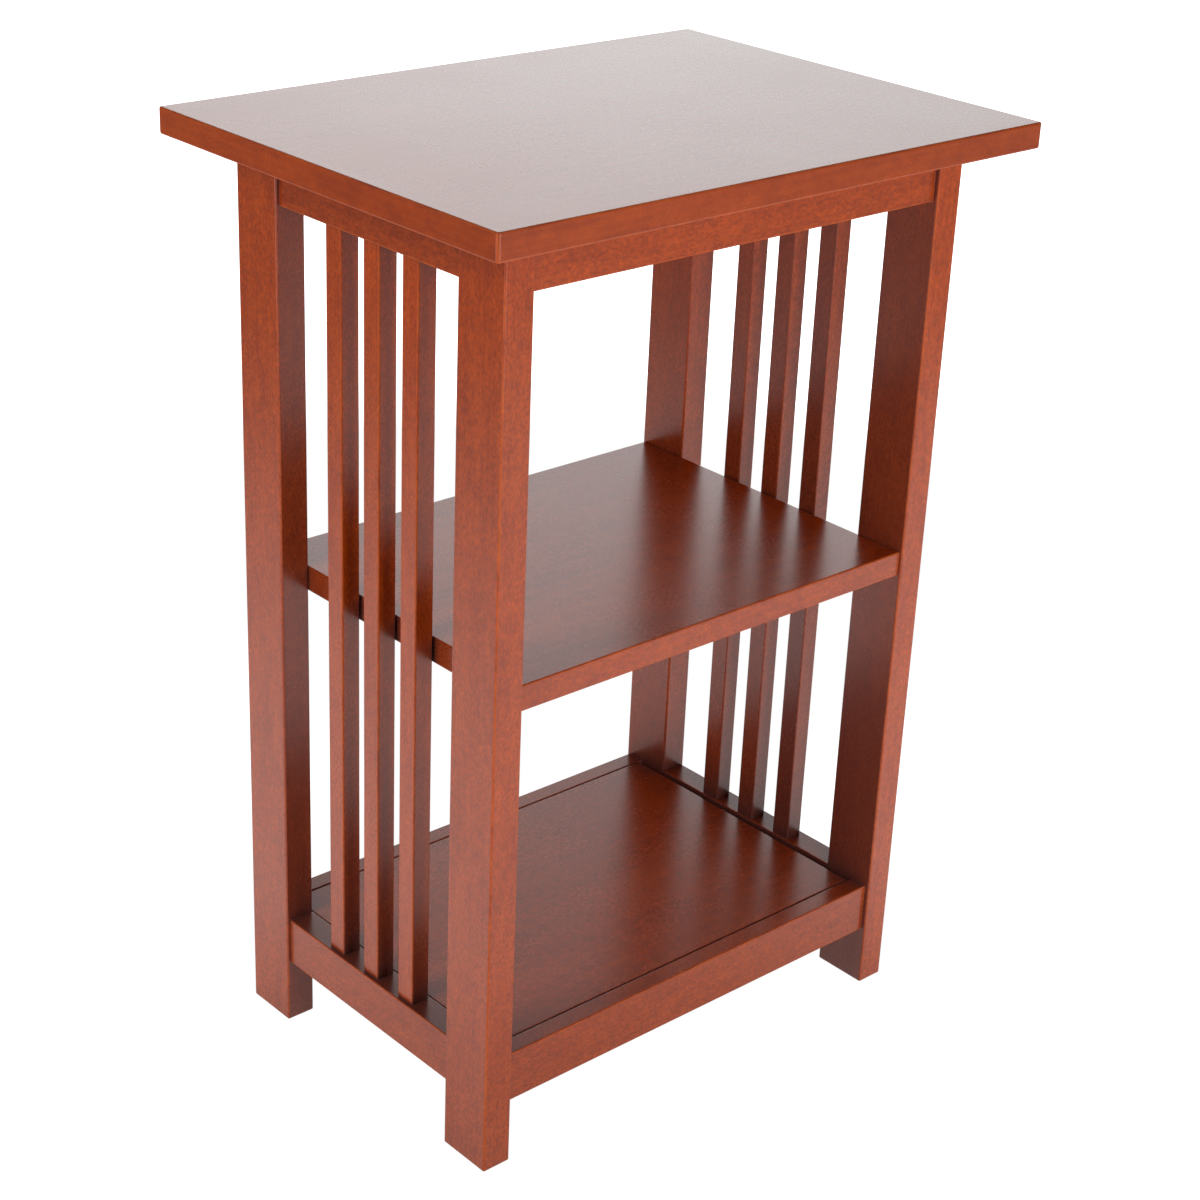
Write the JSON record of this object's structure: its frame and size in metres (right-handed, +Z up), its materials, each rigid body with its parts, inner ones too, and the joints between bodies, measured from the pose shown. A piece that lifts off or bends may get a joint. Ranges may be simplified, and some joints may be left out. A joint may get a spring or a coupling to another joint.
{
  "type": "end table",
  "caption": "End table with a rectangular top, flat square legs, slatted sides, a middle shelf and a framed bottom shelf.",
  "frame": {"origin": "on the floor under the middle of the table", "axes": "+X to the right along the open front, +Y from the open front to the back, +Z up"},
  "size_m": [0.4824, 0.355, 0.695],
  "materials": {
    "stained_wood": "cherry stain under satin lacquer",
    "batten_wood": "bare sawn softwood",
    "dowel_wood": "bare turned beech",
    "plated_steel": "dull zinc plating"
  },
  "bodies": {
    "root": {"top_panel": "stained_wood", "top_lipping_front": "stained_wood", "top_lipping_right": "stained_wood", "top_lipping_back": "stained_wood", "top_lipping_left": "stained_wood", "leg_front_left": "stained_wood", "leg_back_left": "stained_wood", "leg_front_right": "stained_wood", "leg_back_right": "stained_wood", "side_apron_left": "stained_wood", "side_apron_right": "stained_wood", "side_rail_left": "stained_wood", "side_rail_right": "stained_wood", "slat_left_front": "stained_wood", "slat_left_middle": "stained_wood", "slat_left_back": "stained_wood", "slat_right_front": "stained_wood", "slat_right_middle": "stained_wood", "slat_right_back": "stained_wood", "apron_front": "stained_wood", "apron_back": "stained_wood", "rail_front": "stained_wood", "rail_back": "stained_wood", "shelf_board": "stained_wood", "shelf_lipping_front": "stained_wood", "shelf_lipping_back": "stained_wood", "bottom_panel": "stained_wood", "top_batten_front": "batten_wood", "top_batten_back": "batten_wood", "panel_batten_front": "batten_wood", "panel_batten_back": "batten_wood", "side_frame_dowels": "dowel_wood", "cross_member_dowels": "dowel_wood", "shelf_dowels": "dowel_wood", "cam_studs": "plated_steel", "cam_locks": "plated_steel", "top_screws": "plated_steel", "top_batten_screws": "plated_steel", "panel_screws": "plated_steel", "panel_batten_screws": "plated_steel"}
  },
  "joints": []
}
